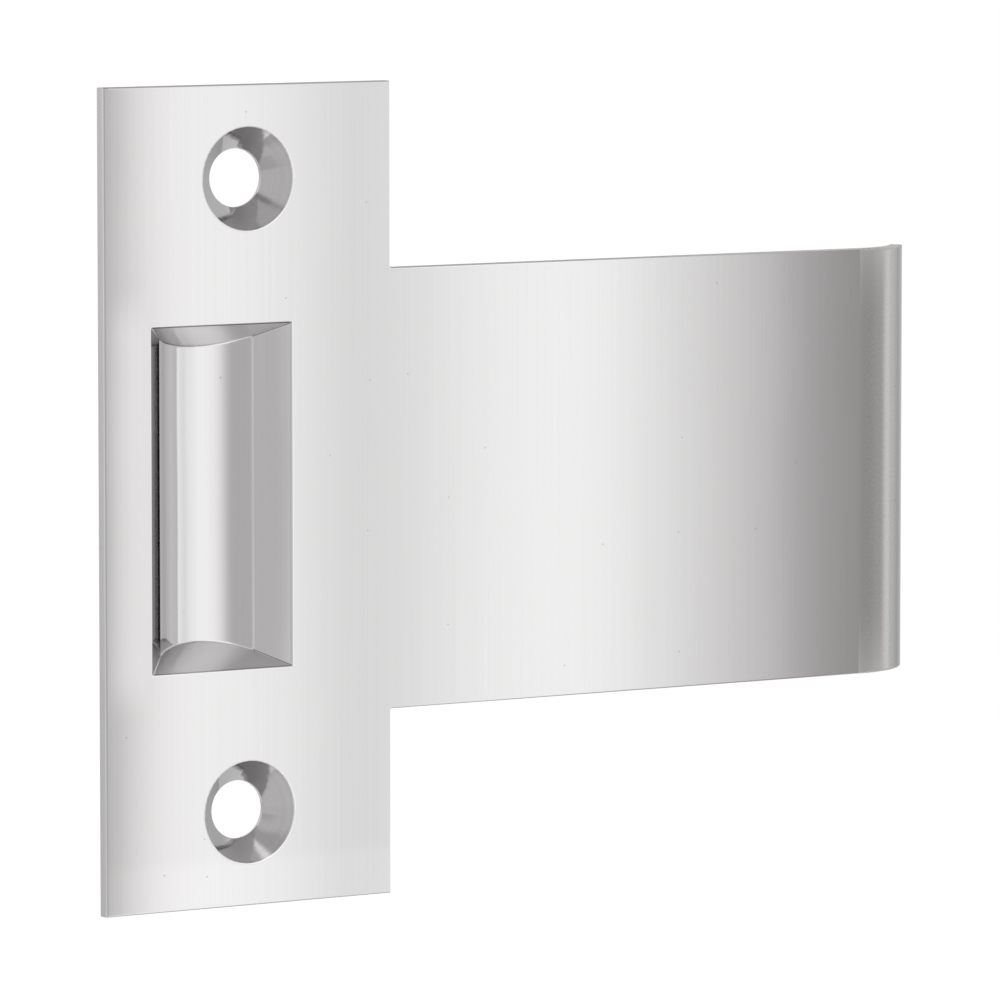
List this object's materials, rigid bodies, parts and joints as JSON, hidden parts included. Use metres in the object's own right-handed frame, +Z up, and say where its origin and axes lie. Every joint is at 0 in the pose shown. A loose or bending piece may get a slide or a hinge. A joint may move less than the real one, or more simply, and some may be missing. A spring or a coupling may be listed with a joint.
{
  "type": "door strike plate",
  "caption": "Pressed T-shaped door strike plate with a round-floored roller pocket, dimpled countersunk screw holes and a long flat lip that curls back at its end.",
  "frame": {"origin": "midway between the two screw holes, on the plate's back face that seats on the jamb", "axes": "+X along the lip towards its curl, +Y into the jamb, +Z up along the plate"},
  "size_m": [0.0836, 0.0058, 0.07],
  "materials": {
    "polished_steel": "bright polished stainless steel with faint upright polishing lines"
  },
  "bodies": {
    "root": {"strike_plate": "polished_steel"}
  },
  "joints": []
}
